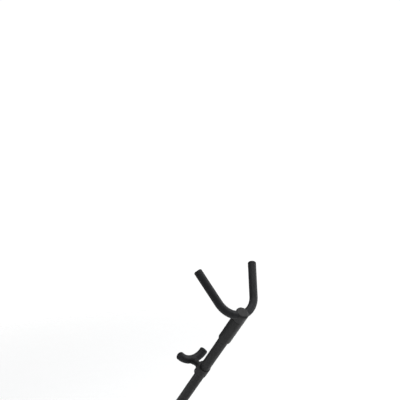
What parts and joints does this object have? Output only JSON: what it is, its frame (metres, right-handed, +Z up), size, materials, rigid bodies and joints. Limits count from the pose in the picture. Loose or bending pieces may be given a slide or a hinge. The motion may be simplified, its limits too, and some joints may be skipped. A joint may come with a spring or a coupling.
{
  "type": "saxophone stand",
  "caption": "Folding saxophone stand: a leaning pole on a three-legged base, with a covered U-shaped yoke for the bell and a small covered cradle for the bow.",
  "frame": {"origin": "centre of the footprint on the floor", "axes": "+Z up; -Y the way the pole leans, which is the front; +X to the side of the fold knob"},
  "size_m": [0.4088, 0.4336, 0.4309],
  "materials": {
    "black_powder_coat": "fine textured powder coat, satin",
    "black_casting": "painted die casting, satin",
    "black_nylon": "smooth moulded plastic, satin",
    "black_rubber": "matt moulded rubber",
    "black_cover": "soft rubber cover, slight sheen",
    "zinc_steel": "zinc plated",
    "chrome_tube": "polished chrome",
    "white_nylon": "natural nylon",
    "brass": "turned brass"
  },
  "bodies": {
    "hub": {"hub_body": "black_casting", "hub_plate": "black_powder_coat", "hub_screws": "zinc_steel", "leg_bolts": "zinc_steel", "leg_nuts": "zinc_steel", "leg_washers": "white_nylon", "fold_bolt": "zinc_steel", "fold_friction_washers": "white_nylon", "fold_knob_washer": "zinc_steel", "front_leg_tube": "black_powder_coat", "front_leg_pin": "zinc_steel", "front_leg_foot": "black_rubber"},
    "left_leg": {"left_leg_tube": "black_powder_coat", "left_leg_knuckle": "black_nylon", "left_leg_rivet": "zinc_steel", "left_leg_foot": "black_rubber"},
    "right_leg": {"right_leg_tube": "black_powder_coat", "right_leg_knuckle": "black_nylon", "right_leg_rivet": "zinc_steel", "right_leg_foot": "black_rubber"},
    "pole": {"pole_tube": "black_powder_coat", "pole_knuckle": "black_casting", "pole_rivet": "zinc_steel", "clutch_ferrule": "zinc_steel", "clutch_collet": "white_nylon", "cradle_collar": "black_powder_coat", "cradle_collar_pin": "zinc_steel", "cradle_neck": "black_powder_coat", "cradle_rod": "zinc_steel", "cradle_cover": "black_cover", "cradle_cap_left": "black_cover", "cradle_cap_right": "black_cover"},
    "clutch": {"clutch_sleeve": "black_nylon"},
    "slider": {"slider_bush": "white_nylon"},
    "yoke": {"inner_tube": "chrome_tube", "inner_tube_plug": "black_nylon", "inner_tube_circlip": "zinc_steel", "yoke_head": "black_casting", "yoke_tube_pin": "zinc_steel", "yoke_rod_pin": "zinc_steel", "yoke_rod": "zinc_steel", "yoke_cover_left": "black_cover", "yoke_cover_right": "black_cover", "yoke_cap_left": "black_cover", "yoke_cap_right": "black_cover"},
    "knob": {"fold_knob": "black_nylon", "fold_knob_insert": "brass"}
  },
  "joints": [
    {"name": "left_leg_swivel", "type": "hinge", "parent": "hub", "child": "left_leg", "pos_m": [-0.024, 0.10636, 0.023], "axis": [0, 0, 1], "range_deg": [0, 115]},
    {"name": "right_leg_swivel", "type": "hinge", "parent": "hub", "child": "right_leg", "pos_m": [0.024, 0.10636, 0.023], "axis": [0, 0, 1], "range_deg": [-115, 0]},
    {"name": "pole_fold", "type": "hinge", "parent": "hub", "child": "pole", "pos_m": [0, 0.10636, 0.064], "axis": [1, 0, 0], "range_deg": [0, 44]},
    {"name": "clutch_turn", "type": "hinge", "parent": "pole", "child": "clutch", "pos_m": [0, -0.1112, 0.31874], "axis": [0, -0.6494, 0.7604], "range_deg": [0, 90]},
    {"name": "yoke_slide", "type": "slide", "parent": "pole", "child": "slider", "axis": [0, -0.6494, 0.7604], "range_m": [0, 0.1]},
    {"name": "yoke_swivel", "type": "hinge", "parent": "slider", "child": "yoke", "pos_m": [0, -0.12744, 0.33775], "axis": [0, -0.6494, 0.7604], "range_deg": [-180, 180]},
    {"name": "fold_knob_turn", "type": "hinge", "parent": "hub", "child": "knob", "pos_m": [0.03, 0.10636, 0.064], "axis": [1, 0, 0], "range_deg": [0, 360]}
  ]
}
